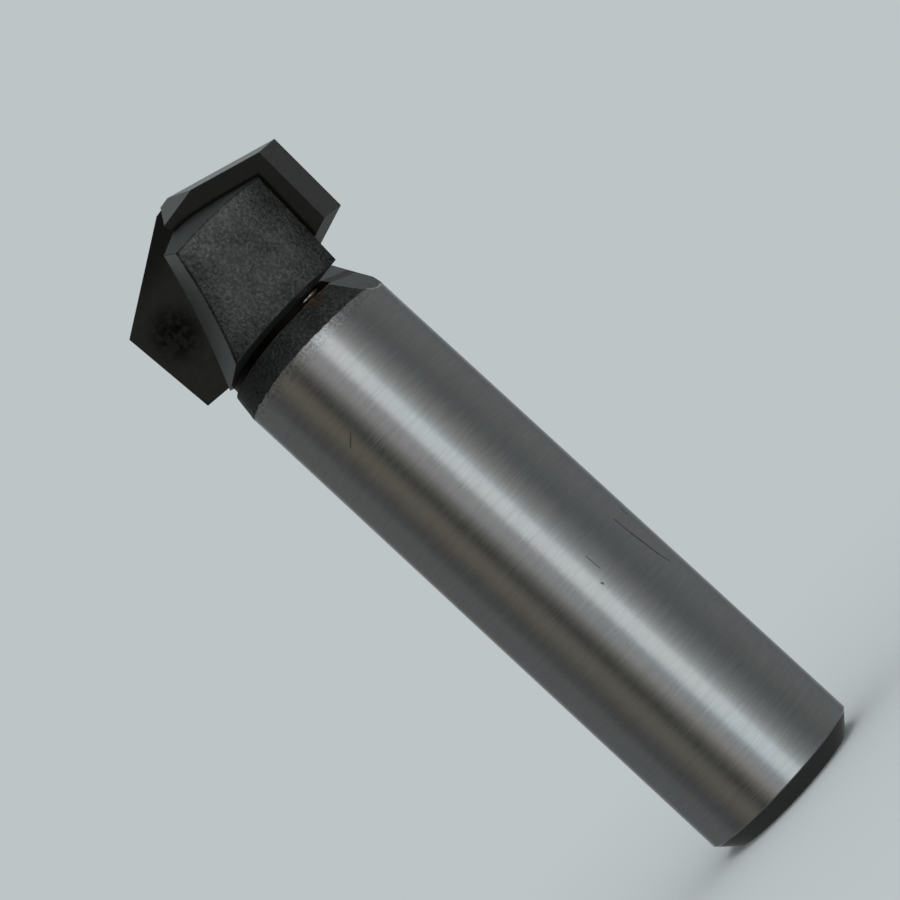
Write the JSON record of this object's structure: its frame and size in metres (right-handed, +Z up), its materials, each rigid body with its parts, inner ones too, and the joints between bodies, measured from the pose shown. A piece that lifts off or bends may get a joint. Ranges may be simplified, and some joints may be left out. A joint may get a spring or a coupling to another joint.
{
  "type": "v-groove router bit",
  "caption": "V-groove router bit with a straight round shank and carbide cutting wings brazed onto a turned steel head, standing on the rear end of its shank.",
  "frame": {"origin": "on the surface the bit stands on, in the middle of the shank's rear face", "axes": "+Z up along the bit's axis, from the shank towards the cutting tip; +X towards the first wing"},
  "size_m": [0.019, 0.0156, 0.0577],
  "materials": {
    "ground_steel": "satin",
    "carbide": "matte",
    "braze": "satin"
  },
  "bodies": {
    "root": {"steel_body": "ground_steel", "first_carbide_plate": "carbide", "second_carbide_plate": "carbide", "first_braze_film": "braze", "second_braze_film": "braze"}
  },
  "joints": []
}
